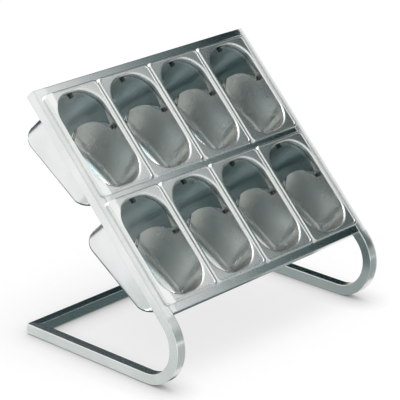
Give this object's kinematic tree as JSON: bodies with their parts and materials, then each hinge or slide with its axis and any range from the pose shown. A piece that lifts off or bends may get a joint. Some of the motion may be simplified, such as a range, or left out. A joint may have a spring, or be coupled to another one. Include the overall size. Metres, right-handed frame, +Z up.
{
  "type": "cutlery container rack",
  "caption": "Tilted square-tube steel stand holding lift-out rimmed steel containers, each with a smoked half cover, for sorting and serving cutlery.",
  "frame": {"origin": "on the floor, under the middle of the rack's bounding box", "axes": "+X to the rack's right as its user faces it, +Y from the user to the raised back, +Z up"},
  "size_m": [0.6884, 0.513, 0.5949],
  "materials": {
    "satin_tube": "satin-ground stainless tube",
    "polished_sheet": "deep-drawn stainless sheet, bright polished",
    "smoked_cover": "smoked clear polycarbonate sheet",
    "glide_pad": "matt elastomer"
  },
  "bodies": {
    "frame": {"left_leg": "satin_tube", "right_leg": "satin_tube", "top_rail": "satin_tube", "middle_rail": "satin_tube", "bottom_rail": "satin_tube", "rear_base_bar": "satin_tube", "glide_front_left": "glide_pad", "glide_front_right": "glide_pad", "glide_rear_left": "glide_pad", "glide_rear_right": "glide_pad"},
    "lift_upper_1": {"container_upper_1": "polished_sheet", "cover_upper_1": "smoked_cover"},
    "lift_upper_2": {"container_upper_2": "polished_sheet", "cover_upper_2": "smoked_cover"},
    "lift_upper_3": {"container_upper_3": "polished_sheet", "cover_upper_3": "smoked_cover"},
    "lift_upper_4": {"container_upper_4": "polished_sheet", "cover_upper_4": "smoked_cover"},
    "lift_lower_1": {"container_lower_1": "polished_sheet", "cover_lower_1": "smoked_cover"},
    "lift_lower_2": {"container_lower_2": "polished_sheet", "cover_lower_2": "smoked_cover"},
    "lift_lower_3": {"container_lower_3": "polished_sheet", "cover_lower_3": "smoked_cover"},
    "lift_lower_4": {"container_lower_4": "polished_sheet", "cover_lower_4": "smoked_cover"}
  },
  "joints": [
    {"name": "upper_1_lift", "type": "slide", "parent": "frame", "child": "lift_upper_1", "axis": [0, -0.7218, 0.6921], "range_m": [0, 0.16]},
    {"name": "upper_2_lift", "type": "slide", "parent": "frame", "child": "lift_upper_2", "axis": [0, -0.7218, 0.6921], "range_m": [0, 0.16]},
    {"name": "upper_3_lift", "type": "slide", "parent": "frame", "child": "lift_upper_3", "axis": [0, -0.7218, 0.6921], "range_m": [0, 0.16]},
    {"name": "upper_4_lift", "type": "slide", "parent": "frame", "child": "lift_upper_4", "axis": [0, -0.7218, 0.6921], "range_m": [0, 0.16]},
    {"name": "lower_1_lift", "type": "slide", "parent": "frame", "child": "lift_lower_1", "axis": [0, -0.7218, 0.6921], "range_m": [0, 0.16]},
    {"name": "lower_2_lift", "type": "slide", "parent": "frame", "child": "lift_lower_2", "axis": [0, -0.7218, 0.6921], "range_m": [0, 0.16]},
    {"name": "lower_3_lift", "type": "slide", "parent": "frame", "child": "lift_lower_3", "axis": [0, -0.7218, 0.6921], "range_m": [0, 0.16]},
    {"name": "lower_4_lift", "type": "slide", "parent": "frame", "child": "lift_lower_4", "axis": [0, -0.7218, 0.6921], "range_m": [0, 0.16]}
  ]
}
